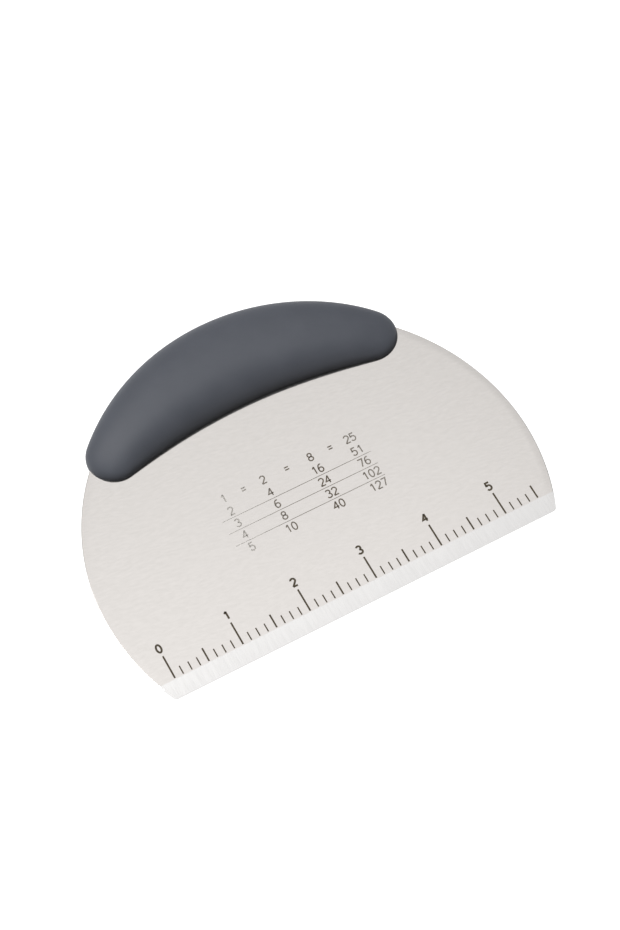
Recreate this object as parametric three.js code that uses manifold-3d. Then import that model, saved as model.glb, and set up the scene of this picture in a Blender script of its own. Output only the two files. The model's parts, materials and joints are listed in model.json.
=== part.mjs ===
// Dough cutter: a round-backed steel blade with a straight ground edge and a ruler, held in a
// crescent handle. Two stiff core halves are riveted through the blade's tang, and a soft grip
// is moulded over them. The cutter lies on its back: its edge and the back of its grip touch z = 0.
// Millimetres, +Z up. The tool's own frame has X along the edge, Y from the edge to the handle
// and Z out of the front face.
import * as THREE from 'three';
import { mergeVertices } from 'three/addons/utils/BufferGeometryUtils.js';
import Module from 'manifold-3d';

const wasm = await Module();
wasm.setup();

// Blade
const BLADE_RADIUS = 81.0;         // round rim
const RIM_CENTRE_HEIGHT = 34.9;    // rim's centre above the cutting edge
const BLADE_THICKNESS = 1.0;
const CORNER_RADIUS = 1.6;         // where the rim meets the cutting edge
const BEVEL_HEIGHT = 6.45;         // ground band above the cutting edge, on both faces
const EDGE_LAND = 0.4;             // blunt flat left on the cutting edge

// Ruler, in eighths of an inch, sunk into the front face
const RULER_PITCH = 25.4 / 8;
const RULER_END_MARGIN = 3.0;      // least distance from the ruler to the edge's corners
const RULER_RISE = 0.4;            // from the bevel to the foot of the marks
const MARK_DEPTH = 0.05;
const INCH_MARK = { length: 8.8, width: 0.62 };
const HALF_MARK = { length: 5.2, width: 0.6 };
const EIGHTH_MARK = { length: 3.2, width: 0.46 };

// Handle
const LOBE_ANGLE = 42.75;          // degrees of the rim from the crown to either end lobe
const LOBE_INSET = 6.25;           // the lobes' centres inside the rim
const LOBE_RADIUS = 9.75;
const LIP_RISE = 6.6;              // lower lip's middle above the lobes' lowest points
const GRIP_THICKNESS = 24;         // at the middle
const GRIP_WALL = 2.0;             // soft layer over the core
const CORE_COVER = 2.0;            // core left above the tang's rim
const SEAM_ANGLE = 29;             // degrees of the rim that the core closes over, either side of the crown
const ARCH_POWER = 2.2;            // thickness from the middle to a tip: 2 is an ellipse
const SECTION_POWER = 2.4;         // thickness from the lip to the crown: more is squarer
const FIT_GAP = 0.3;               // between neighbouring pieces

// Rivets, on a ring inside the rim
const RIVET_RING_INSET = 11.2;
const RIVET_ANGLE = 27;            // degrees of the ring between rivets
const RIVET_RADIUS = 1.8;
const RIVET_HEAD_RADIUS = 3.6;
const RIVET_HEAD_HEIGHT = 1.3;
const RIVET_HEAD_COVER = 0.6;      // from the head to the core's outer face
const BOSS_WALL = 2.4;             // core left round each rivet's shank
const POCKET_WIDTH = 12;           // hollows moulded into the core between the rivets

const FINISH = {
  steel: { color: 0xdedad7, roughness: 0.35, metalness: 1 },
  core: { color: 0x2c2e32, roughness: 0.6, metalness: 0 },
  rivet: { color: 0xc4c6c9, roughness: 0.4, metalness: 1 },
  grip: { color: 0x565960, roughness: 0.75, metalness: 0 },
};

const RIM_STEPS = 96;
const CORNER_STEPS = 4;
const ROUND_STEPS = 24;
const SKIN_GRID = { along: 44, around: 32 };
const CORE_GRID = { along: 36, around: 24 };
const ARC_SHARE = 0.72;            // part of the grids' sections that lies between the lobes
const MERGE_DISTANCE = 1e-4;

const radians = THREE.MathUtils.degToRad;

// A closed three.js geometry as a solid that can be cut and joined.
function solidOf(geometry) {
  geometry.deleteAttribute('normal');
  geometry.deleteAttribute('uv');
  const merged = mergeVertices(geometry, MERGE_DISTANCE);
  const vertProperties = new Float32Array(merged.attributes.position.array);
  const triVerts = new Uint32Array(merged.index.array);
  return new wasm.Manifold(new wasm.Mesh({ numProp: 3, vertProperties, triVerts }));
}

function geometryOf(solid) {
  const { vertProperties, triVerts } = solid.getMesh();
  const geometry = new THREE.BufferGeometry();
  geometry.setAttribute('position', new THREE.BufferAttribute(vertProperties, 3));
  geometry.setIndex(new THREE.BufferAttribute(triVerts, 1));
  geometry.computeVertexNormals();
  return geometry;
}

function piece(name, geometry, finish) {
  const mesh = new THREE.Mesh(geometry, new THREE.MeshStandardMaterial(finish));
  mesh.name = name;
  return mesh;
}

function pointAt(x, y, radius, angle) {
  return [x + radius * Math.cos(angle), y + radius * Math.sin(angle)];
}

function arcPoints(x, y, radius, from, to, steps, clockwise = false) {
  return new THREE.ArcCurve(x, y, radius, from, to, clockwise).getPoints(steps);
}

// A round bar along Z between two heights.
function barAlongZ(x, y, radius, low, high, steps = ROUND_STEPS) {
  const bar = new THREE.CylinderGeometry(radius, radius, high - low, steps);
  return solidOf(bar.rotateX(Math.PI / 2).translate(x, y, (low + high) / 2));
}

// A flat sheet with the given outline, between two heights.
function sheetAlongZ(points, low, high) {
  const options = { depth: high - low, bevelEnabled: false };
  return solidOf(new THREE.ExtrudeGeometry(new THREE.Shape(points), options).translate(0, 0, low));
}

// A prism along X with its section given as (y, z) points.
function prismAlongX(points, length) {
  const section = new THREE.Shape(points.map(([y, z]) => new THREE.Vector2(y, z)));
  const prism = new THREE.ExtrudeGeometry(section, { depth: length, bevelEnabled: false });
  const turn = new THREE.Matrix4().makeBasis(
    new THREE.Vector3(0, 1, 0), new THREE.Vector3(0, 0, 1), new THREE.Vector3(1, 0, 0));
  return solidOf(prism.translate(0, 0, -length / 2).applyMatrix4(turn));
}

// Blade: sheet, bevels, ruler and rivet holes
const halfBlade = BLADE_THICKNESS / 2;
const halfLand = EDGE_LAND / 2;
const rimTop = RIM_CENTRE_HEIGHT + BLADE_RADIUS;
const halfEdge = Math.sqrt(BLADE_RADIUS ** 2 - RIM_CENTRE_HEIGHT ** 2);
const rivetRing = BLADE_RADIUS - RIVET_RING_INSET;
const rivetHole = RIVET_RADIUS + FIT_GAP;

const rivetPlaces = [['left', -1], ['middle', 0], ['right', 1]].map(([side, step]) => {
  const angle = Math.PI / 2 - radians(RIVET_ANGLE) * step;
  const [x, y] = pointAt(0, RIM_CENTRE_HEIGHT, rivetRing, angle);
  return { side, x, y };
});

function bladeOutline() {
  const inner = BLADE_RADIUS - CORNER_RADIUS;
  const cornerX = Math.sqrt(inner ** 2 - (RIM_CENTRE_HEIGHT - CORNER_RADIUS) ** 2);
  const meet = Math.atan2(CORNER_RADIUS - RIM_CENTRE_HEIGHT, cornerX);
  const down = -Math.PI / 2;
  return [
    ...arcPoints(cornerX, CORNER_RADIUS, CORNER_RADIUS, down, meet, CORNER_STEPS),
    ...arcPoints(0, RIM_CENTRE_HEIGHT, BLADE_RADIUS, meet, Math.PI - meet, RIM_STEPS).slice(1),
    ...arcPoints(-cornerX, CORNER_RADIUS, CORNER_RADIUS, Math.PI - meet, -down * 3, CORNER_STEPS).slice(1),
  ];
}

// What the grinding wheel takes off one face: the wedge above the bevel, run past both its ends.
function bevelWedge(face) {
  const climb = halfBlade - halfLand;
  const section = [
    [-BEVEL_HEIGHT, halfLand - climb],
    [2 * BEVEL_HEIGHT, halfBlade + climb],
    [-BEVEL_HEIGHT, halfBlade + climb],
  ];
  return prismAlongX(section.map(([y, z]) => [y, face * z]), 2 * BLADE_RADIUS);
}

function rulerMarks() {
  const divisions = Math.floor((2 * halfEdge - 2 * RULER_END_MARGIN) / RULER_PITCH);
  const foot = BEVEL_HEIGHT + RULER_RISE;
  return Array.from({ length: divisions + 1 }, (_, i) => {
    const mark = i % 8 === 0 ? INCH_MARK : i % 4 === 0 ? HALF_MARK : EIGHTH_MARK;
    const groove = new THREE.BoxGeometry(mark.width, mark.length, 2 * MARK_DEPTH);
    const x = (i - divisions / 2) * RULER_PITCH;
    return solidOf(groove.translate(x, foot + mark.length / 2, halfBlade));
  });
}

function makeBlade() {
  const through = BLADE_THICKNESS;
  const holes = rivetPlaces.map(({ x, y }) => barAlongZ(x, y, rivetHole, -through, through));
  const cuts = [bevelWedge(1), bevelWedge(-1), ...rulerMarks(), ...holes];
  const sheet = sheetAlongZ(bladeOutline(), -halfBlade, halfBlade);
  return geometryOf(cuts.reduce((rest, cut) => rest.subtract(cut), sheet));
}

// Handle: a crescent whose plan is four arcs, each tangent to the next: the crown, which clears
// the rim by the core's cover and the soft wall, the lower lip, and a lobe at either end.
const gripTop = rimTop + FIT_GAP + CORE_COVER + FIT_GAP + GRIP_WALL;
const lobeRing = BLADE_RADIUS - LOBE_INSET;
const lobeAngle = Math.PI / 2 - radians(LOBE_ANGLE);
const lobe = new THREE.Vector2(...pointAt(0, RIM_CENTRE_HEIGHT, lobeRing, lobeAngle));
const lipMiddle = lobe.y - LOBE_RADIUS + LIP_RISE;

// Radius of an arc on the mid-line through height y that touches both lobes' rounds.
function tangentRadius(y) {
  const rise = y - lobe.y;
  const span = lobe.x ** 2 + rise ** 2 - LOBE_RADIUS ** 2;
  return span / (2 * Math.abs(Math.abs(rise) - LOBE_RADIUS));
}

const upperRadius = tangentRadius(gripTop);
const lowerRadius = tangentRadius(lipMiddle);
const upperCentre = gripTop - upperRadius;
const lowerCentre = lipMiddle - lowerRadius;
const upperMeet = Math.atan2(lobe.y - upperCentre, lobe.x);
const lowerMeet = Math.atan2(lobe.y - lowerCentre, lobe.x);
const tipAngle = (upperMeet + lowerMeet - Math.PI) / 2;
const lobeSweep = upperMeet - tipAngle;
const upperLength = upperRadius * (Math.PI / 2 - upperMeet);
const lowerLength = lowerRadius * (Math.PI / 2 - lowerMeet);
const spineLength = (upperLength + lowerLength) / 2;

// Half the thickness at a distance along the handle's spine, with the surface set in.
function halfThickness(distance, inset) {
  const halfLength = spineLength + (LOBE_RADIUS - inset) * (1 - Math.cos(lobeSweep));
  const share = Math.min(1, distance / halfLength);
  return (GRIP_THICKNESS / 2 - inset) * (1 - share ** ARCH_POWER) ** (1 / ARCH_POWER);
}

// The section at one place along the handle, from the middle (0) to a tip (1), with the whole
// surface set in by the given amount: its lower and upper ends in plan, and its half thickness.
function section(place, inset) {
  if (place < ARC_SHARE) {
    const share = place / ARC_SHARE;
    const upper = THREE.MathUtils.lerp(Math.PI / 2, upperMeet, share);
    const lower = THREE.MathUtils.lerp(Math.PI / 2, lowerMeet, share);
    return {
      upper: pointAt(0, upperCentre, upperRadius - inset, upper),
      lower: pointAt(0, lowerCentre, lowerRadius + inset, lower),
      half: halfThickness(spineLength * share, inset),
    };
  }
  const swing = lobeSweep * (1 - place) / (1 - ARC_SHARE);
  const radius = LOBE_RADIUS - inset;
  const run = radius * (Math.cos(swing) - Math.cos(lobeSweep));
  return {
    upper: pointAt(lobe.x, lobe.y, radius, tipAngle + swing),
    lower: pointAt(lobe.x, lobe.y, radius, tipAngle - swing),
    half: halfThickness(spineLength + run, inset),
  };
}

// The crescent as a sphere drawn out along the handle, its poles at the two tips.
function handleBody(inset, grid) {
  const body = new THREE.SphereGeometry(1, grid.around, grid.along);
  const { position, uv } = body.attributes;
  const squared = (value) => Math.sign(value) * Math.abs(value) ** (2 / SECTION_POWER);
  for (let i = 0; i < position.count; i++) {
    const along = 2 * uv.getY(i) - 1;
    const turn = 2 * Math.PI * uv.getX(i);
    const { upper, lower, half } = section(Math.abs(along), inset);
    const side = Math.sign(along);
    const level = (1 + squared(Math.cos(turn))) / 2;
    const x = side * THREE.MathUtils.lerp(lower[0], upper[0], level);
    const y = THREE.MathUtils.lerp(lower[1], upper[1], level);
    position.setXYZ(i, x, y, half * squared(Math.sin(turn)));
  }
  return body;
}

// The room that the tang needs in the pieces round it.
function tangSlot() {
  const half = halfBlade + FIT_GAP;
  return barAlongZ(0, RIM_CENTRE_HEIGHT, BLADE_RADIUS + FIT_GAP, -half, half, 2 * RIM_STEPS);
}

// Soft grip: a closed skin with one slot, through which the blade comes out.
function makeGrip() {
  const skin = solidOf(handleBody(0, SKIN_GRID));
  const inside = solidOf(handleBody(GRIP_WALL, CORE_GRID));
  return geometryOf(skin.subtract(inside).subtract(tangSlot()));
}

// Core half: flat against the tang, with seats for the rivets' heads and two moulded hollows. Over
// the tang's crown the halves come down to meet, and past that seam they stay level with the slot.
const coreInset = GRIP_WALL + FIT_GAP;
const seatHeight = halfThickness(rivetRing * radians(RIVET_ANGLE), coreInset)
  - RIVET_HEAD_COVER - RIVET_HEAD_HEIGHT - FIT_GAP;

function pocketOutline(side) {
  const margin = (rivetHole + BOSS_WALL) / rivetRing;
  const from = Math.PI / 2 - side * margin;
  const to = Math.PI / 2 - side * (radians(RIVET_ANGLE) - margin);
  const half = POCKET_WIDTH / 2;
  const inwards = side > 0;
  return [
    ...arcPoints(0, RIM_CENTRE_HEIGHT, rivetRing + half, from, to, CORNER_STEPS, inwards),
    ...arcPoints(0, RIM_CENTRE_HEIGHT, rivetRing - half, to, from, CORNER_STEPS, !inwards),
  ];
}

function pastSeam(side) {
  const level = halfBlade + FIT_GAP;
  const seamEnd = (BLADE_RADIUS + FIT_GAP) * Math.sin(radians(SEAM_ANGLE));
  const room = new THREE.BoxGeometry(BLADE_RADIUS, 2 * gripTop, 2 * level);
  return solidOf(room.translate(side * (seamEnd + BLADE_RADIUS / 2), gripTop, 0));
}

function makeCoreHalf() {
  const beyond = GRIP_THICKNESS;
  const room = new THREE.BoxGeometry(2 * BLADE_RADIUS, 2 * gripTop, beyond);
  const front = solidOf(room.translate(0, gripTop, (beyond + FIT_GAP) / 2));
  const cuts = [tangSlot()];
  for (const { x, y } of rivetPlaces) {
    cuts.push(barAlongZ(x, y, rivetHole, 0, beyond));
    cuts.push(barAlongZ(x, y, RIVET_HEAD_RADIUS + FIT_GAP, seatHeight, beyond));
  }
  for (const side of [-1, 1]) {
    cuts.push(pastSeam(side));
    cuts.push(sheetAlongZ(pocketOutline(side), 0, seatHeight));
  }
  const half = solidOf(handleBody(coreInset, CORE_GRID)).intersect(front);
  return geometryOf(cuts.reduce((rest, cut) => rest.subtract(cut), half));
}

// Rivet: a domed head in front and a flat head set behind, each clear of its seat.
function makeRivet() {
  const under = seatHeight + FIT_GAP;
  const top = under + RIVET_HEAD_HEIGHT;
  const dome = new THREE.EllipseCurve(0, under, RIVET_HEAD_RADIUS, RIVET_HEAD_HEIGHT, 0, Math.PI / 2);
  const profile = [
    new THREE.Vector2(0, -top),
    new THREE.Vector2(RIVET_HEAD_RADIUS, -top),
    new THREE.Vector2(RIVET_HEAD_RADIUS, -under),
    new THREE.Vector2(RIVET_RADIUS, -under),
    new THREE.Vector2(RIVET_RADIUS, under),
    ...dome.getPoints(CORNER_STEPS),
  ];
  return geometryOf(solidOf(new THREE.LatheGeometry(profile, ROUND_STEPS).rotateX(Math.PI / 2)));
}

const tool = new THREE.Group();
const coreFront = piece('core_front', makeCoreHalf(), FINISH.core);
const coreRear = piece('core_rear', makeCoreHalf(), FINISH.core);
coreRear.rotation.y = Math.PI;
tool.add(piece('blade', makeBlade(), FINISH.steel), coreFront, coreRear);
for (const { side, x, y } of rivetPlaces) {
  const rivet = piece(`tang_rivet_${side}`, makeRivet(), FINISH.rivet);
  rivet.position.set(x, y, 0);
  tool.add(rivet);
}
tool.add(piece('soft_grip', makeGrip(), FINISH.grip));

// How far the cutter leans when its edge and the back of its grip both touch the table.
function restTilt() {
  const { position } = handleBody(0, SKIN_GRID).attributes;
  let tilt = 0;
  for (let i = 0; i < position.count; i++) {
    tilt = Math.max(tilt, Math.atan2(-halfLand - position.getZ(i), position.getY(i)));
  }
  return tilt;
}

// Lay the cutter down, centred over the origin.
tool.rotation.x = restTilt();
const box = new THREE.Box3().setFromObject(tool, true);
tool.position.set(0, -(box.min.y + box.max.y) / 2, -box.min.z);

const cutter = new THREE.Group();
cutter.add(tool);
export default cutter;
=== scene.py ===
# A dough cutter lies on its back on a white table: a steel blade with a ruler above its straight
# edge, and a soft crescent grip that closes over the blade's round back.
import json
import math

import bmesh
import bpy
from mathutils import Matrix, Vector


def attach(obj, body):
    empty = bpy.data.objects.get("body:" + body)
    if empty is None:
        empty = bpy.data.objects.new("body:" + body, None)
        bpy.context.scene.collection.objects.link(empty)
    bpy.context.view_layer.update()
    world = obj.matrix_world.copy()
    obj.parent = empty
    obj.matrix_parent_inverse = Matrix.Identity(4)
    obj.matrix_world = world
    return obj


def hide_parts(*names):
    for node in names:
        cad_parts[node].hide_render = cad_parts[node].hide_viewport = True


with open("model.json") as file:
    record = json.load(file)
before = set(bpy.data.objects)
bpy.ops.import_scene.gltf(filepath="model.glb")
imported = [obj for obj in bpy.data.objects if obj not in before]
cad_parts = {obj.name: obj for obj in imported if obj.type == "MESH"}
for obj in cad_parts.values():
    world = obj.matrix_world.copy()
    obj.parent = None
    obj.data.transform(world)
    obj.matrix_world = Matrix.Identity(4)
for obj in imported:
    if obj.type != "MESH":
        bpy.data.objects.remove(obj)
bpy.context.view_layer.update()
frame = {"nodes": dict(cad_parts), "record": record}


# Camera. It looks down on the cutter from the left of its cutting edge through a long lens, and
# its frame leans a little to one side.
LOOK_AT = Vector((0.00916, -0.00131, 0))
CAMERA_DISTANCE = 0.82605
CAMERA_AZIMUTH = math.radians(-25.446)
CAMERA_ELEVATION = math.radians(56.828)
CAMERA_LEAN = math.radians(-3.963)
LENS_MM = 91.946
SENSOR_MM = 36                       # along the frame's long side

camera_turn = Matrix.Rotation(CAMERA_AZIMUTH, 4, "Z")
camera_turn @= Matrix.Rotation(math.pi / 2 - CAMERA_ELEVATION, 4, "X")
camera_turn @= Matrix.Rotation(CAMERA_LEAN, 4, "Z")
step_back = Matrix.Translation((0, 0, CAMERA_DISTANCE))
camera_data = bpy.data.cameras.new("camera")
camera_data.lens = LENS_MM
camera_data.sensor_width = SENSOR_MM
camera = bpy.data.objects.new("camera", camera_data)
camera.matrix_world = Matrix.Translation(LOOK_AT) @ camera_turn @ step_back
bpy.context.scene.collection.objects.link(camera)
bpy.context.scene.camera = camera


# Blade. One stamped sheet of stainless steel with a brushed face and a round rim. Its straight edge
# is ground on both faces, and three holes in its tang take the rivets that hold it in the handle.
MM = 0.001
BLADE_RADIUS = 81.0 * MM
RIM_CENTRE_HEIGHT = 34.9 * MM        # rim's centre above the cutting edge
HALF_BLADE = 0.5 * MM                # half the sheet's thickness
CORNER_RADIUS = 1.6 * MM             # where the rim meets the cutting edge
BEVEL_HEIGHT = 6.45 * MM             # ground band above the cutting edge
HALF_LAND = 0.2 * MM                 # half the blunt flat left on the cutting edge
RIM_ROUND = 0.2 * MM                 # stamped rim's tumbled edges
RIVET_INSET = 11.2 * MM              # from the rim to the middle of a rivet
RIVET_ANGLE = math.radians(27)       # from one rivet to the next, round the rim's centre
RIVET_HOLE = 2.1 * MM
RIM_STEPS = 240
CORNER_STEPS = 6
ROUND_STEPS = 4
HOLE_STEPS = 48
FLAT_CREASE = math.radians(1.5)      # keeps the faces and their bevels flat
ROUND_CREASE = math.radians(30)

BRUSH_ANGLE = math.radians(-9)       # the sheet was brushed a little askew of its edge
FINE_STROKE = (2.2 * MM, 0.2 * MM)   # length and width of what the brush left on the face
BROAD_STROKE = (2.4 * MM, 0.8 * MM)
WHEEL_ANGLE = math.pi / 2
NARROW_LINE = (9 * MM, 0.35 * MM)    # and of what the grinding wheel left across the bevel
WIDE_LINE = (9 * MM, 1.5 * MM)
SPECKLE_DETAIL = 4                   # finer and finer layers in every noise
STEEL_LOW = (0.593, 0.568, 0.546, 1)
STEEL_HIGH = (0.627, 0.601, 0.580, 1)
STEEL_SPREAD = (0.3, 0.7)            # noise that gives the low tone, and the high one
GROUND_LOW = (0.566, 0.558, 0.552, 1)
GROUND_HIGH = (0.608, 0.600, 0.594, 1)
GROUND_SPREAD = (0.4, 0.8)
BEVEL_LEAN = 0.2                     # how much the wheel's polish grows from the edge to the crease
CREASE_BLUR = 0.05 * MM
FACE_ROUGHNESS = 0.06
BEVEL_ROUGHNESS = 0.10
STROKE_ROUGHNESS = 0.08              # what strokes and lines add
BRUSH_DEPTH = 0.0015 * MM
ROLL_DEPTH = 0.1 * MM                # the face bends down this far where the rim was stamped
ROLL_WIDTH = 3 * MM

# The blade's own axes: along its edge, from the edge to the grip, and out of the ruler's face.
mounts = {mount["name"]: mount for mount in frame["record"]["mounts"]}
edge_middle = Vector(mounts["cutting_edge"]["pos_m"])
up_blade = -Vector(mounts["cutting_edge"]["axis"])
off_face = -Vector(mounts["blade_back"]["axis"])
laid_down = Matrix((up_blade.cross(off_face), up_blade, off_face)).transposed().to_4x4()
laid_down.translation = edge_middle


class Shade:
    """A socket in a node tree. Arithmetic on it adds Math nodes, and node() adds any other node."""

    def __init__(self, tree, socket=None):
        self.tree = tree
        self.socket = socket

    def node(self, kind, settings=None, sockets=None, output=0):
        made = self.tree.nodes.new(kind)
        for name, value in (settings or {}).items():
            setattr(made, name, value)
        for name, value in (sockets or {}).items():
            if isinstance(value, Shade):
                self.tree.links.new(value.socket, made.inputs[name])
            else:
                made.inputs[name].default_value = value
        return Shade(self.tree, made.outputs[output] if made.outputs else None)

    def maths(self, operation, first, second):
        return self.node("ShaderNodeMath", {"operation": operation}, {0: first, 1: second})

    def __add__(self, other):
        return self.maths("ADD", self, other)

    def __sub__(self, other):
        return self.maths("SUBTRACT", self, other)

    def __rsub__(self, other):
        return self.maths("SUBTRACT", other, self)

    def __mul__(self, other):
        return self.maths("MULTIPLY", self, other)

    def __pow__(self, other):
        return self.maths("POWER", self, other)

    def __abs__(self):
        return self.maths("ABSOLUTE", self, 0)

    __radd__ = __add__
    __rmul__ = __mul__


def new_finish(name):
    """A material with no nodes yet, and a place measured along the blade's own axes."""
    material = bpy.data.materials.new(name)
    material.use_nodes = True
    material.node_tree.nodes.clear()
    start = Shade(material.node_tree)
    where = start.node("ShaderNodeTexCoord", output="Object")
    lie = {"Vector": where, "Location": edge_middle, "Rotation": laid_down.to_euler()}
    return material, start.node("ShaderNodeMapping", {"vector_type": "TEXTURE"}, lie)


def part_of(vector, axis):
    return vector.node("ShaderNodeSeparateXYZ", None, {"Vector": vector}, output=axis)


def length_of(across, up):
    return (across * across + up * up) ** 0.5


def from_rim_centre(place):
    """How far a place lies from the centre that the rim and the grip are drawn round."""
    return length_of(part_of(place, "X"), part_of(place, "Y") - RIM_CENTRE_HEIGHT)


def speckle(place, angle, length, width):
    """Noise drawn out into streaks of about this length and width, at an angle to the edge."""
    stretch = {"Vector": place, "Rotation": (0, 0, angle), "Scale": (length, width, width)}
    turned = place.node("ShaderNodeMapping", {"vector_type": "TEXTURE"}, stretch)
    return place.node("ShaderNodeTexNoise", None, {"Vector": turned, "Scale": 1, "Detail": SPECKLE_DETAIL})


def rise(value, low, high):
    """Goes smoothly from 0 to 1 as the value goes from low to high."""
    span = {"Value": value, "From Min": low, "From Max": high}
    return value.node("ShaderNodeMapRange", {"interpolation_type": "SMOOTHSTEP"}, span)


def blend_colours(share, first, second):
    return share.node("ShaderNodeMix", {"data_type": "RGBA"}, {0: share, 6: first, 7: second}, output=2)


def bump(place, height, depth):
    return place.node("ShaderNodeBump", None, {"Height": height, "Distance": depth, "Strength": 1})


def close_finish(place, **shader):
    """Joins the principled shader, with these socket values and links, to the material's output."""
    sockets = {name.replace("_", " "): value for name, value in shader.items()}
    surface = place.node("ShaderNodeBsdfPrincipled", None, sockets)
    place.node("ShaderNodeOutputMaterial", None, {"Surface": surface})


def steel_finish():
    """Satin face brushed one way, and a brighter bevel with the grinding wheel's lines across it."""
    material, place = new_finish("blade_steel")
    height = part_of(place, "Y")
    face = rise(height, BEVEL_HEIGHT - CREASE_BLUR, BEVEL_HEIGHT + CREASE_BLUR)
    fine = speckle(place, BRUSH_ANGLE, *FINE_STROKE)
    broad = speckle(place, BRUSH_ANGLE, *BROAD_STROKE)
    narrow = speckle(place, WHEEL_ANGLE, *NARROW_LINE)
    wide = speckle(place, WHEEL_ANGLE, *WIDE_LINE)
    brushed = 0.5 * fine + 0.5 * broad
    ground = 0.5 * narrow + 0.5 * wide
    polish = BEVEL_LEAN / BEVEL_HEIGHT * height
    brushed_tone = blend_colours(rise(brushed, *STEEL_SPREAD), STEEL_LOW, STEEL_HIGH)
    ground_tone = blend_colours(rise(ground + polish, *GROUND_SPREAD), GROUND_LOW, GROUND_HIGH)
    lines = ground + face * (fine - ground)
    smoother = BEVEL_ROUGHNESS - FACE_ROUGHNESS
    # Stamping bent the sheet down round its rim, and grinding took that off again along the edge.
    roll = rise(from_rim_centre(place), BLADE_RADIUS - ROLL_WIDTH, BLADE_RADIUS + ROLL_WIDTH)
    roll *= rise(height, 0, 2 * BEVEL_HEIGHT)
    close_finish(
        place,
        Base_Color=blend_colours(face, ground_tone, brushed_tone),
        Metallic=1.0,
        Roughness=BEVEL_ROUGHNESS - smoother * face + STROKE_ROUGHNESS * lines,
        Normal=bump(place, BRUSH_DEPTH * lines - ROLL_DEPTH * roll, 1),
    )
    return material


def arc(x, y, radius, start, end, steps):
    turns = [start + (end - start) * step / steps for step in range(steps + 1)]
    return [(x + radius * math.cos(turn), y + radius * math.sin(turn)) for turn in turns]


def blade_outline(inset):
    """The sheet's outline drawn in by an amount, anticlockwise from the right end of the edge."""
    inner = BLADE_RADIUS - CORNER_RADIUS
    corner = math.sqrt(inner ** 2 - (RIM_CENTRE_HEIGHT - CORNER_RADIUS) ** 2)
    meet = math.atan2(CORNER_RADIUS - RIM_CENTRE_HEIGHT, corner)
    small = CORNER_RADIUS - inset
    right_end = arc(corner, CORNER_RADIUS, small, -math.pi / 2, meet, CORNER_STEPS)
    rim = arc(0, RIM_CENTRE_HEIGHT, BLADE_RADIUS - inset, meet, math.pi - meet, RIM_STEPS)
    left_end = arc(-corner, CORNER_RADIUS, small, math.pi - meet, math.pi * 3 / 2, CORNER_STEPS)
    return right_end[:-1] + rim + left_end[1:]


def bridge(bm, lower, upper):
    """Quads between two rings of as many points."""
    for i in range(len(lower)):
        after = (i + 1) % len(lower)
        bm.faces.new((lower[i], lower[after], upper[after], upper[i]))


def stack(outlines):
    """A solid through outlines that lie above each other, each given as its points and its level."""
    bm = bmesh.new()
    rings = []
    for points, level in outlines:
        rings.append([bm.verts.new((x, y, level)) for x, y in points])
    for lower, upper in zip(rings, rings[1:]):
        bridge(bm, lower, upper)
    bm.faces.new(reversed(rings[0]))
    bm.faces.new(rings[-1])
    return bm


def blade_mesh():
    """The sheet with round rims, then creased across both faces and thinned to the cutting edge."""
    quarter = [math.pi / 2 * step / ROUND_STEPS for step in range(ROUND_STEPS + 1)]
    straight = HALF_BLADE - RIM_ROUND
    rear = [(RIM_ROUND * (1 - math.sin(turn)), -straight - RIM_ROUND * math.cos(turn)) for turn in quarter]
    front = [(inset, -level) for inset, level in reversed(rear)]
    bm = stack([(blade_outline(inset), level) for inset, level in rear + front])
    everything = bm.verts[:] + bm.edges[:] + bm.faces[:]
    bmesh.ops.bisect_plane(bm, geom=everything, plane_co=(0, BEVEL_HEIGHT, 0), plane_no=(0, 1, 0))
    for point in bm.verts:
        if point.co.y < BEVEL_HEIGHT:
            half = HALF_LAND + (HALF_BLADE - HALF_LAND) * point.co.y / BEVEL_HEIGHT
            point.co.z = max(-half, min(half, point.co.z))
    return bm


def bar(x, y, radius, half_length, steps):
    """A round bar through the blade's plane."""
    circle = arc(x, y, radius, 0, math.tau, steps)[:-1]
    return stack([(circle, -half_length), (circle, half_length)])


def add_object(name, bm):
    mesh = bpy.data.meshes.new(name)
    bm.to_mesh(mesh)
    bm.free()
    made = bpy.data.objects.new(name, mesh)
    bpy.context.scene.collection.objects.link(made)
    return made


def smooth(body, crease):
    """Rounds the look of a body, but for edges sharper than the crease."""
    body.data.shade_smooth()
    body.data.set_sharp_from_angle(angle=crease)


def add_piece(name, bm, crease=ROUND_CREASE):
    """A piece of the cutter from a mesh that was made along the blade's axes."""
    bm.transform(laid_down)
    made = add_object(name, bm)
    smooth(made, crease)
    return made


def carve(body, cutters, crease=ROUND_CREASE):
    """Cuts the cutters out of the body and throws them away."""
    for cutter in cutters:
        cut = body.modifiers.new("cut", "BOOLEAN")
        cut.operation = "DIFFERENCE"
        cut.object = cutter
    shaped = body.evaluated_get(bpy.context.evaluated_depsgraph_get())
    mesh = bpy.data.meshes.new_from_object(shaped)
    body.modifiers.clear()
    body.data = mesh
    smooth(body, crease)
    for cutter in cutters:
        bpy.data.objects.remove(cutter)


blade = add_piece("blade_sheet", blade_mesh(), FLAT_CREASE)
rivet_ring = BLADE_RADIUS - RIVET_INSET
holes = []
for step in (-1, 0, 1):
    turn = math.pi / 2 - RIVET_ANGLE * step
    x = rivet_ring * math.cos(turn)
    y = RIM_CENTRE_HEIGHT + rivet_ring * math.sin(turn)
    holes.append(add_piece("hole", bar(x, y, RIVET_HOLE, 2 * HALF_BLADE, HOLE_STEPS)))
carve(blade, holes, FLAT_CREASE)
blade.data.materials.append(steel_finish())
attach(blade, "root")
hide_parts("blade")


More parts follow.
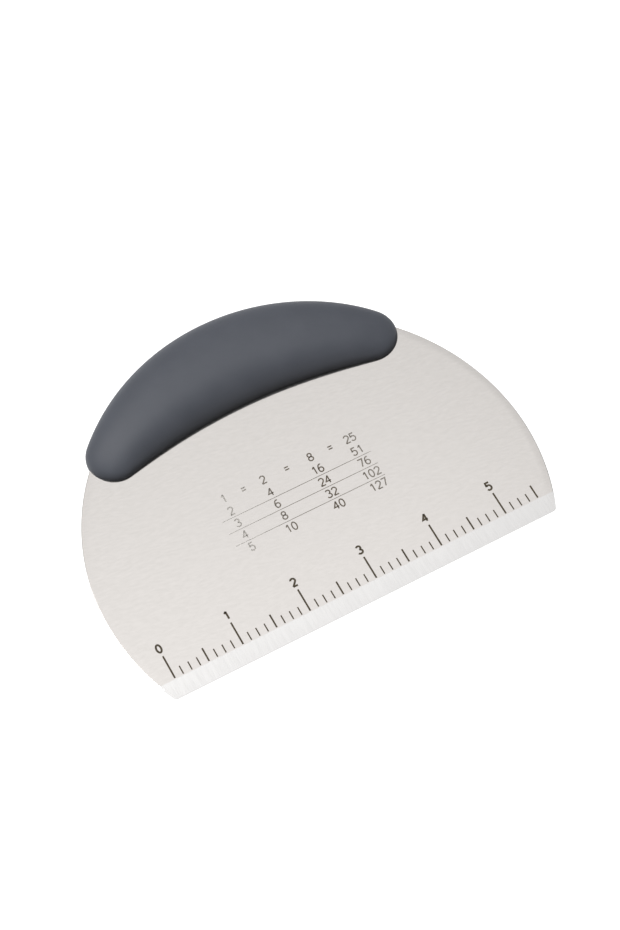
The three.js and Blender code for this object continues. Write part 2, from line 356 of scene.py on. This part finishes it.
# Ruler. Marks for inches, halves and eighths with a number at each inch, burnt dark brown into the
# steel by a laser. They stand a hair proud of the face here so that they show.
INCH = 25.4 * MM
EIGHTHS = 8                          # marks to an inch
MARK_PITCH = INCH / EIGHTHS
MARK_COUNT = 45
MARK_PROUD = 0.02 * MM
MARK_FOOT = 6.85 * MM                # above the cutting edge
INCH_MARK = (0.62 * MM, 8.8 * MM)    # width, length
HALF_MARK = (0.6 * MM, 5.2 * MM)
EIGHTH_MARK = (0.46 * MM, 3.2 * MM)
NUMBER_MIDDLE = 18.6 * MM            # above the cutting edge
NUMBER_HEIGHT = 3.6 * MM
NUMBER_STROKE = 0.7 * MM
BOW_STEPS = 20
CLOSED_GAP = 0.01                    # ends nearer than this part of a stroke's width are one point
BURN_DARK = (0.052, 0.040, 0.024, 1)
BURN_LIGHT = (0.103, 0.082, 0.053, 1)
MOTTLE_STROKE = (0.8 * MM, 0.25 * MM)
MOTTLE_SPREAD = (0.35, 0.65)
BURN_ROUGHNESS = 0.5
MOTTLE_ROUGHNESS = 0.15
BURN_GLOSS = 0.25


def burn_finish(name, dark, light, pale=None, focus=0, reach=(0, 1)):
    """Laser-darkened steel: a mottled brown oxide. With a pale tone, it pales away from the focus."""
    material, place = new_finish(name)
    mottle = speckle(place, BRUSH_ANGLE, *MOTTLE_STROKE)
    tone = blend_colours(rise(mottle, *MOTTLE_SPREAD), dark, light)
    if pale:
        away = abs(part_of(place, "X") - focus)
        tone = blend_colours(rise(away, *reach), tone, pale)
    close_finish(
        place,
        Base_Color=tone,
        Specular_IOR_Level=BURN_GLOSS,
        Roughness=BURN_ROUGHNESS + MOTTLE_ROUGHNESS * mottle,
    )
    return material


def add_stroke(bm, points, width):
    """One flat stroke of the laser along points of the ruler's face, mitred where it turns."""
    path = [Vector(point) for point in points]
    runs = [(after - before).normalized() for before, after in zip(path, path[1:])]
    closed = (path[0] - path[-1]).length < CLOSED_GAP * width
    if closed:
        path = path[:-1]
    sides = ([], [])
    for i, point in enumerate(path):
        into = runs[i - 1] if i > 0 or closed else runs[0]
        out = runs[i] if i < len(runs) else runs[-1]
        across = Vector((-into.y - out.y, into.x + out.x)) / (1 + into.dot(out))
        sides[0].append(point - across * width / 2)
        sides[1].append(point + across * width / 2)
    levels = (HALF_BLADE, HALF_BLADE + MARK_PROUD)
    low, high = [[[bm.verts.new((*p, level)) for p in side] for side in sides] for level in levels]
    last = len(path) if closed else len(path) - 1
    for i in range(last):
        j = (i + 1) % len(path)
        bm.faces.new((high[0][i], high[0][j], high[1][j], high[1][i]))
        bm.faces.new((low[1][i], low[1][j], low[0][j], low[0][i]))
        bm.faces.new((low[0][i], low[0][j], high[0][j], high[0][i]))
        bm.faces.new((low[1][j], low[1][i], high[1][i], high[1][j]))
    if not closed:
        bm.faces.new((low[0][0], high[0][0], high[1][0], low[1][0]))
        bm.faces.new((low[1][-1], high[1][-1], high[0][-1], low[0][-1]))


def bow(x, y, wide, high, start, end):
    """Points of a round stretch of a figure, between two angles in degrees."""
    turns = [math.radians(start + (end - start) * step / BOW_STEPS) for step in range(BOW_STEPS + 1)]
    return [(x + wide * math.cos(turn), y + high * math.sin(turn)) for turn in turns]


# Figures one high and 0.6 wide, about their own middle, as the laser's strokes.
FIGURES = {
    "0": [bow(0, 0, 0.28, 0.5, 90, 450)],
    "1": [[(-0.17, 0.26), (0.07, 0.5)], [(0.07, 0.5), (0.07, -0.5)]],
    "2": [bow(0, 0.22, 0.28, 0.28, 165, -42) + [(-0.28, -0.5)], [(-0.3, -0.5), (0.3, -0.5)]],
    "3": [bow(-0.02, 0.26, 0.25, 0.24, 155, -90), bow(-0.02, -0.24, 0.3, 0.26, 90, -155)],
    "4": [[(0.14, 0.5), (-0.3, -0.2), (0.32, -0.2)], [(0.14, 0.5), (0.14, -0.5)]],
    "5": [[(0.25, 0.5), (-0.2, 0.5), (-0.25, 0)], bow(-0.02, -0.18, 0.3, 0.32, 140, -150)],
    "6": [bow(0, -0.2, 0.28, 0.3, 90, 450), bow(0.06, -0.16, 0.34, 0.66, 68, 180)],
    "7": [[(-0.3, 0.5), (0.28, 0.5), (-0.08, -0.5)]],
    "8": [bow(0, 0.26, 0.24, 0.24, 90, 450), bow(0, -0.24, 0.29, 0.26, 90, 450)],
    "=": [[(-0.26, 0.16), (0.26, 0.16)], [(-0.26, -0.16), (0.26, -0.16)]],
}
FIGURE_STEP = 0.68                   # from one figure's middle to the next, in figure heights


def add_number(bm, figures, x, y, height, width):
    """A number centred on a point of the ruler's face, with its figures this high overall."""
    size = height - width
    for i, figure in enumerate(figures):
        middle = x + (i - (len(figures) - 1) / 2) * FIGURE_STEP * height
        for stroke in FIGURES[figure]:
            add_stroke(bm, [(middle + px * size, y + py * size) for px, py in stroke], width)


def add_burnt(name, bm, material):
    """A piece made of the laser's strokes."""
    drawn = add_piece(name, bm)
    drawn.data.materials.append(material)
    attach(drawn, "root")


first_mark = -(MARK_COUNT - 1) / 2 * MARK_PITCH
marks = bmesh.new()
numbers = bmesh.new()
for i in range(MARK_COUNT):
    x = first_mark + i * MARK_PITCH
    width, length = EIGHTH_MARK
    if i % (EIGHTHS // 2) == 0:
        width, length = HALF_MARK
    if i % EIGHTHS == 0:
        width, length = INCH_MARK
        add_number(numbers, str(i // EIGHTHS), x, NUMBER_MIDDLE, NUMBER_HEIGHT, NUMBER_STROKE)
    add_stroke(marks, [(x, MARK_FOOT), (x, MARK_FOOT + length)], width)

burnt = burn_finish("ruler_burn", BURN_DARK, BURN_LIGHT)
add_burnt("ruler_marks", marks, burnt)
add_burnt("ruler_numbers", numbers, burnt)


# Table of numbers. Burnt above the ruler with a weaker beam: its head says what an inch is in half
# inches, eighths and millimetres, and the rows below, between fine rules, give two to five inches.
COUNTS_TO_AN_INCH = (1, 2, 8, 25.4)
ROW_INCHES = (2, 3, 4, 5)
TABLE_HEAD = 57.5 * MM               # above the cutting edge
TABLE_TOP_ROW = 52.15 * MM
TABLE_ROW_STEP = 5.05 * MM
TABLE_COLUMNS = (-25.0 * MM, -9.8 * MM, 8.7 * MM, 24.3 * MM)
FIGURE_HEIGHT = 3.4 * MM
FIGURE_STROKE = 0.46 * MM
RULE_LEFT = -29.7 * MM
RULE_RIGHT = 28.2 * MM
RULE_WIDTH = 0.18 * MM
FAINT_DARK = (0.093, 0.073, 0.052, 1)
FAINT_LIGHT = (0.162, 0.133, 0.104, 1)
FAINT_PALE = (0.43, 0.41, 0.38, 1)
BEAM_FOCUS = 6 * MM                  # right of the middle
BEAM_REACH = (8 * MM, 36 * MM)       # where the mark starts to pale, and where it is palest

rules = bmesh.new()
figures = bmesh.new()
for column, count in zip(TABLE_COLUMNS, COUNTS_TO_AN_INCH):
    add_number(figures, str(round(count)), column, TABLE_HEAD, FIGURE_HEIGHT, FIGURE_STROKE)
for before, after in zip(TABLE_COLUMNS, TABLE_COLUMNS[1:]):
    add_number(figures, "=", (before + after) / 2, TABLE_HEAD, FIGURE_HEIGHT, FIGURE_STROKE)
for row, inches in enumerate(ROW_INCHES):
    y = TABLE_TOP_ROW - row * TABLE_ROW_STEP
    for column, count in zip(TABLE_COLUMNS, COUNTS_TO_AN_INCH):
        add_number(figures, str(round(inches * count)), column, y, FIGURE_HEIGHT, FIGURE_STROKE)
    if row > 0:
        middle = y + TABLE_ROW_STEP / 2
        add_stroke(rules, [(RULE_LEFT, middle), (RULE_RIGHT, middle)], RULE_WIDTH)

faint = burn_finish("table_burn", FAINT_DARK, FAINT_LIGHT, FAINT_PALE, BEAM_FOCUS, BEAM_REACH)
add_burnt("table_rules", rules, faint)
add_burnt("table_figures", figures, faint)


# Core halves. Two alike mouldings in stiff dark plastic that clamp the tang from both sides, out of
# sight under the soft grip. They are shown as they were built.
CORE_DARK = (0.022, 0.023, 0.026, 1)
CORE_LIGHT = (0.032, 0.033, 0.037, 1)
CORE_GRAIN = 0.5 * MM
CORE_GRAIN_DEPTH = 0.02 * MM
CORE_ROUGHNESS = 0.45
CORE_GRAIN_ROUGHNESS = 0.2


def grains(place, size):
    """Noise that runs no way, in grains of about this size."""
    return speckle(place, 0, size, size)


def core_finish():
    """Moulded plastic with a fine spark-eroded grain."""
    material, place = new_finish("core_plastic")
    grain = grains(place, CORE_GRAIN)
    close_finish(
        place,
        Base_Color=blend_colours(grain, CORE_DARK, CORE_LIGHT),
        Roughness=CORE_ROUGHNESS + CORE_GRAIN_ROUGHNESS * grain,
        Normal=bump(place, grain, CORE_GRAIN_DEPTH),
    )
    return material


def dress_node(node, material):
    """Gives a piece that is shown as it was built its finish."""
    slots = frame["nodes"][node].data.materials
    slots.clear()
    slots.append(material)


moulded = core_finish()
for side in ("front", "rear"):
    dress_node("core_" + side, moulded)


# Rivets. Three plain aluminium rivets through the core halves and the tang, domed in front and set
# flat behind. They too are shown as they were built.
RIVET_LOW = (0.50, 0.50, 0.51, 1)
RIVET_HIGH = (0.62, 0.62, 0.63, 1)
RIVET_DENT = 0.7 * MM
RIVET_DENT_DEPTH = 0.02 * MM
RIVET_ROUGHNESS = 0.3
RIVET_DENT_ROUGHNESS = 0.2


def rivet_finish():
    """Tumbled aluminium with shallow dents."""
    material, place = new_finish("rivet_aluminium")
    dents = grains(place, RIVET_DENT)
    close_finish(
        place,
        Base_Color=blend_colours(dents, RIVET_LOW, RIVET_HIGH),
        Metallic=1.0,
        Roughness=RIVET_ROUGHNESS + RIVET_DENT_ROUGHNESS * dents,
        Normal=bump(place, dents, RIVET_DENT_DEPTH),
    )
    return material


tumbled = rivet_finish()
for side in ("left", "middle", "right"):
    dress_node("tang_rivet_" + side, tumbled)


# Soft grip. A skin of matt grey-blue rubber moulded over the core: a crescent of four arcs in plan,
# thickest in the middle, with one slot where the blade comes out. Painted shade darkens its lip and tips.
LOBE_ANGLE = math.radians(42.75)     # from the crown to either end lobe, round the rim's centre
LOBE_INSET = 6.25 * MM               # from the rim to the middle of a lobe
LOBE_RADIUS = 9.75 * MM
LIP_RISE = 6.6 * MM                  # lower lip's middle above the lobes' lowest points
CROWN_RISE = 4.6 * MM                # crown above the rim
GRIP_HALF = 12 * MM                  # half the thickness at the middle
GRIP_WALL = 2.0 * MM
SLOT_CLEARANCE = 0.01 * MM
ARCH_POWER = 2.2                     # thickness from the middle to a tip: 2 is an ellipse
SECTION_POWER = 2.4                  # thickness from the lip to the crown: more is squarer
ARC_SHARE = 0.72                     # part of the sections that lies between the lobes
SKIN_ALONG = 160
SKIN_AROUND = 128
LINING_ALONG = 48
LINING_AROUND = 32
SLOT_STEPS = 384
RUBBER_LOW = (0.0855, 0.0920, 0.1090, 1)
RUBBER_HIGH = (0.0935, 0.1005, 0.1190, 1)
RUBBER_SPREAD = (0.3, 0.7)
# painted shade: the dark that the lip and the tips are blended to near the blade
PAINTED_SHADE_DARK = (0.0313, 0.0337, 0.0399, 1)
SHADE_REACH = 4.2 * MM                # from the blade's plane to where the painted shade has gone
SHADE_RING = (72 * MM, 82 * MM)     # from the rim's centre: painted shade inside, none outside
BLOOM_SIZE = 9 * MM
BLOOM_SHARE = 0.7                    # of the tone, and the pores have the rest
PORE_SIZE = 0.3 * MM
PORE_DEPTH = 0.008 * MM
RUBBER_ROUGHNESS = 0.46
BLOOM_ROUGHNESS = 0.1
PORE_ROUGHNESS = 0.06
RUBBER_GLOSS = 0.3

lobe_ring = BLADE_RADIUS - LOBE_INSET
lobe_x = lobe_ring * math.sin(LOBE_ANGLE)
lobe_y = RIM_CENTRE_HEIGHT + lobe_ring * math.cos(LOBE_ANGLE)
lip_middle = lobe_y - LOBE_RADIUS + LIP_RISE
grip_top = RIM_CENTRE_HEIGHT + BLADE_RADIUS + CROWN_RISE


def tangent_radius(y):
    """Radius of an arc on the middle line through this height that touches both lobes."""
    climb = y - lobe_y
    span = lobe_x ** 2 + climb ** 2 - LOBE_RADIUS ** 2
    return span / (2 * abs(abs(climb) - LOBE_RADIUS))


upper_radius = tangent_radius(grip_top)
lower_radius = tangent_radius(lip_middle)
upper_centre = grip_top - upper_radius
lower_centre = lip_middle - lower_radius
upper_meet = math.atan2(lobe_y - upper_centre, lobe_x)
lower_meet = math.atan2(lobe_y - lower_centre, lobe_x)
tip_angle = (upper_meet + lower_meet - math.pi) / 2
lobe_sweep = upper_meet - tip_angle
upper_length = upper_radius * (math.pi / 2 - upper_meet)
lower_length = lower_radius * (math.pi / 2 - lower_meet)
spine_length = (upper_length + lower_length) / 2


def half_thickness(distance, inset):
    """Half the grip's thickness at a distance along its spine, with its surface set in."""
    half_length = spine_length + (LOBE_RADIUS - inset) * (1 - math.cos(lobe_sweep))
    share = min(1, distance / half_length)
    return (GRIP_HALF - inset) * (1 - share ** ARCH_POWER) ** (1 / ARCH_POWER)


def on_circle(x, y, radius, turn):
    return Vector((x, y)) + radius * Vector((math.cos(turn), math.sin(turn)))


def grip_section(place, inset):
    """Lower end, upper end and half thickness at a place from the middle (0) to a tip (1)."""
    if place < ARC_SHARE:
        share = place / ARC_SHARE
        upper = math.pi / 2 + (upper_meet - math.pi / 2) * share
        lower = math.pi / 2 + (lower_meet - math.pi / 2) * share
        low = on_circle(0, lower_centre, lower_radius + inset, lower)
        high = on_circle(0, upper_centre, upper_radius - inset, upper)
        return low, high, half_thickness(spine_length * share, inset)
    swing = lobe_sweep * (1 - place) / (1 - ARC_SHARE)
    radius = LOBE_RADIUS - inset
    low = on_circle(lobe_x, lobe_y, radius, tip_angle - swing)
    high = on_circle(lobe_x, lobe_y, radius, tip_angle + swing)
    run = radius * (math.cos(swing) - math.cos(lobe_sweep))
    return low, high, half_thickness(spine_length + run, inset)


def squared(value):
    """A sine or cosine made squarer."""
    return math.copysign(abs(value) ** (2 / SECTION_POWER), value)


def crescent(inset, along, around):
    """The closed crescent, in rings from the left tip to the right one."""
    bm = bmesh.new()
    rings = []
    for i in range(1, along):
        place = 2 * i / along - 1
        low, high, half = grip_section(abs(place), inset)
        ring = []
        for j in range(around):
            turn = math.tau * j / around
            flat = low.lerp(high, (1 + squared(math.cos(turn))) / 2)
            level = half * squared(math.sin(turn))
            ring.append(bm.verts.new((math.copysign(flat.x, place), flat.y, level)))
        rings.append(ring)
    for lower, upper in zip(rings, rings[1:]):
        bridge(bm, lower, upper)
    tip = grip_section(1, inset)[0]
    for ring, side in ((rings[0], -1), (rings[-1], 1)):
        point = bm.verts.new((side * tip.x, tip.y, 0))
        for j in range(around):
            bm.faces.new((point, ring[j - 1], ring[j]))
    bmesh.ops.recalc_face_normals(bm, faces=bm.faces[:])
    return bm


def rubber_finish():
    """Soft-touch rubber: matt, with a pale bloom, and painted shade along the lip and the tips."""
    material, place = new_finish("grip_rubber")
    bloom = grains(place, BLOOM_SIZE)
    pores = grains(place, PORE_SIZE)
    uneven = BLOOM_SHARE * bloom + (1 - BLOOM_SHARE) * pores
    tone = blend_colours(rise(uneven, *RUBBER_SPREAD), RUBBER_LOW, RUBBER_HIGH)
    # Painted shade: darker near the blade's plane and inside a ring round the rim's centre, so along the
    # lip and the tips.
    by_blade_plane = 1 - rise(abs(part_of(place, "Z")), 0, SHADE_REACH)
    painted_shade = by_blade_plane * (1 - rise(from_rim_centre(place), *SHADE_RING))
    close_finish(
        place,
        Base_Color=blend_colours(painted_shade, tone, PAINTED_SHADE_DARK),
        Roughness=RUBBER_ROUGHNESS + BLOOM_ROUGHNESS * bloom + PORE_ROUGHNESS * pores,
        Specular_IOR_Level=RUBBER_GLOSS,
        Normal=bump(place, pores, PORE_DEPTH),
    )
    return material


grip = add_piece("grip_skin", crescent(0, SKIN_ALONG, SKIN_AROUND))
lining = add_piece("lining", crescent(GRIP_WALL, LINING_ALONG, LINING_AROUND))
slot_radius = BLADE_RADIUS + SLOT_CLEARANCE
slot_half = HALF_BLADE + SLOT_CLEARANCE
slot = add_piece("slot", bar(0, RIM_CENTRE_HEIGHT, slot_radius, slot_half, SLOT_STEPS))
carve(grip, [lining, slot])
grip.data.materials.append(rubber_finish())
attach(grip, "root")
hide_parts("soft_grip")


# Table. A plain sheet of white card that the cutter lies on, bright enough to fade into the
# background.
TABLE_HALF = 6.0
TABLE_WHITE = (0.50, 0.50, 0.50, 1)
TABLE_GLOW = 0.85
GLOW_WHITE = (1, 1, 1, 1)
CARD_FIBRE = 3 * MM
CARD_ROUGHNESS = 0.85
FIBRE_ROUGHNESS = 0.1


def table_finish():
    """White card with the faintest unevenness."""
    material, place = new_finish("white_card")
    fibre = grains(place, CARD_FIBRE)
    close_finish(
        place,
        Base_Color=TABLE_WHITE,
        Roughness=CARD_ROUGHNESS + FIBRE_ROUGHNESS * fibre,
        Emission_Color=GLOW_WHITE,
        Emission_Strength=TABLE_GLOW,
    )
    return material


table_top = bmesh.new()
corners = []
for across, away in ((-1, -1), (1, -1), (1, 1), (-1, 1)):
    corners.append(table_top.verts.new((across * TABLE_HALF, away * TABLE_HALF, 0)))
table_top.faces.new(corners)
table = add_object("table_top", table_top)
table.data.materials.append(table_finish())


# Screen. A grey cloth hung round the front and the sides of the table, darker towards its head.
# Only the steel mirrors it, so that the blade still reads as steel from behind.
SCREEN_RADIUS = 5.0
SCREEN_AROUND = 96
SCREEN_UP = 48
SCREEN_FRONT = -0.22                 # it hangs in front of this, as parts of its radius
SCREEN_SIDE = 0.68                   # and outside this
SCREEN_FOOT = (0.35, 0.35, 0.35, 1)
SCREEN_HEAD = (0.10, 0.10, 0.10, 1)
SCREEN_FADE = (2.0, 4.2)             # heights where it starts to darken, and where it is darkest
SCREEN_BLACK = (0, 0, 0, 1)          # so that it throws no light back
SCREEN_GLOW = 1.0
WEAVE_SIZE = 20 * MM
CLOTH_ROUGHNESS = 0.9
WEAVE_ROUGHNESS = 0.1


def screen_finish():
    """Cloth with a soft weave, lit from its foot."""
    material, place = new_finish("grey_cloth")
    weave = grains(place, WEAVE_SIZE)
    height = part_of(place, "Z")
    close_finish(
        place,
        Base_Color=SCREEN_BLACK,
        Roughness=CLOTH_ROUGHNESS + WEAVE_ROUGHNESS * weave,
        Emission_Color=blend_colours(rise(height, *SCREEN_FADE), SCREEN_FOOT, SCREEN_HEAD),
        Emission_Strength=SCREEN_GLOW,
    )
    return material


cloth = bmesh.new()
bmesh.ops.create_uvsphere(cloth, u_segments=SCREEN_AROUND, v_segments=SCREEN_UP, radius=SCREEN_RADIUS)
bare = []
for face in cloth.faces:
    x, y, z = face.calc_center_median() / SCREEN_RADIUS
    hung = y < SCREEN_FRONT or abs(x) > SCREEN_SIDE
    if z < 0 or not hung:
        bare.append(face)
bmesh.ops.delete(cloth, geom=bare, context="FACES")
screen = add_object("screen", cloth)
screen.data.materials.append(screen_finish())
screen.visible_camera = False
screen.visible_diffuse = False
screen.visible_shadow = False
steel_alone = bpy.data.collections.new("steel_alone")
steel_alone.objects.link(blade)
screen.light_linking.receiver_collection = steel_alone


# Light. A broad sheet of light overhead fades to the back and to the right, as the steel mirrors it,
# and a soft box left of the zenith lights the grip from above. The room around them is dim.
SHEET_STRENGTH = 2.36
SHEET_FRONT = (-0.25, -0.19)         # where it starts and is full, as parts of a direction's length
SHEET_BACK = (-0.2, 1.14)            # where it starts to fade, and where it has gone
SHEET_LEFT = (-0.8, -0.5)
SHEET_RIGHT = (0.25, 0.73)
SHEET_LEAN = 0.475                   # how much it falls from left to right
SHEET_LEVEL = 0.14                   # left of this it stays the same
BOX_STRENGTH = 11.0
BOX_RIGHT = -0.281                   # its middle
BOX_BACK = 0.037
BOX_REACH = (0.1, 0.39)              # where it starts to fade from its middle, and where it has gone
HORIZON = (0, 0.05)                  # both lights end between these heights
ROOM_TONE = 0.02

world = bpy.data.worlds.new("studio")
world.use_nodes = True
world.node_tree.nodes.clear()
studio = Shade(world.node_tree)
towards = studio.node("ShaderNodeTexCoord", output="Generated")
right = part_of(towards, "X")
back = part_of(towards, "Y")
above = part_of(towards, "Z")
fall = SHEET_LEAN * studio.maths("MAXIMUM", right, SHEET_LEVEL)
sheet = rise(back, *SHEET_FRONT) * (1 - rise(back, *SHEET_BACK)) * (1 - fall)
sheet *= rise(right, *SHEET_LEFT) * (1 - rise(right, *SHEET_RIGHT))
soft_box = 1 - rise(length_of(right - BOX_RIGHT, back - BOX_BACK), *BOX_REACH)
glow = (SHEET_STRENGTH * sheet + BOX_STRENGTH * soft_box) * rise(above, *HORIZON)
backdrop = studio.node("ShaderNodeBackground", None, {"Strength": ROOM_TONE + glow})
studio.node("ShaderNodeOutputWorld", None, {"Surface": backdrop})
bpy.context.scene.world = world
bpy.context.scene.view_settings.view_transform = "Standard"
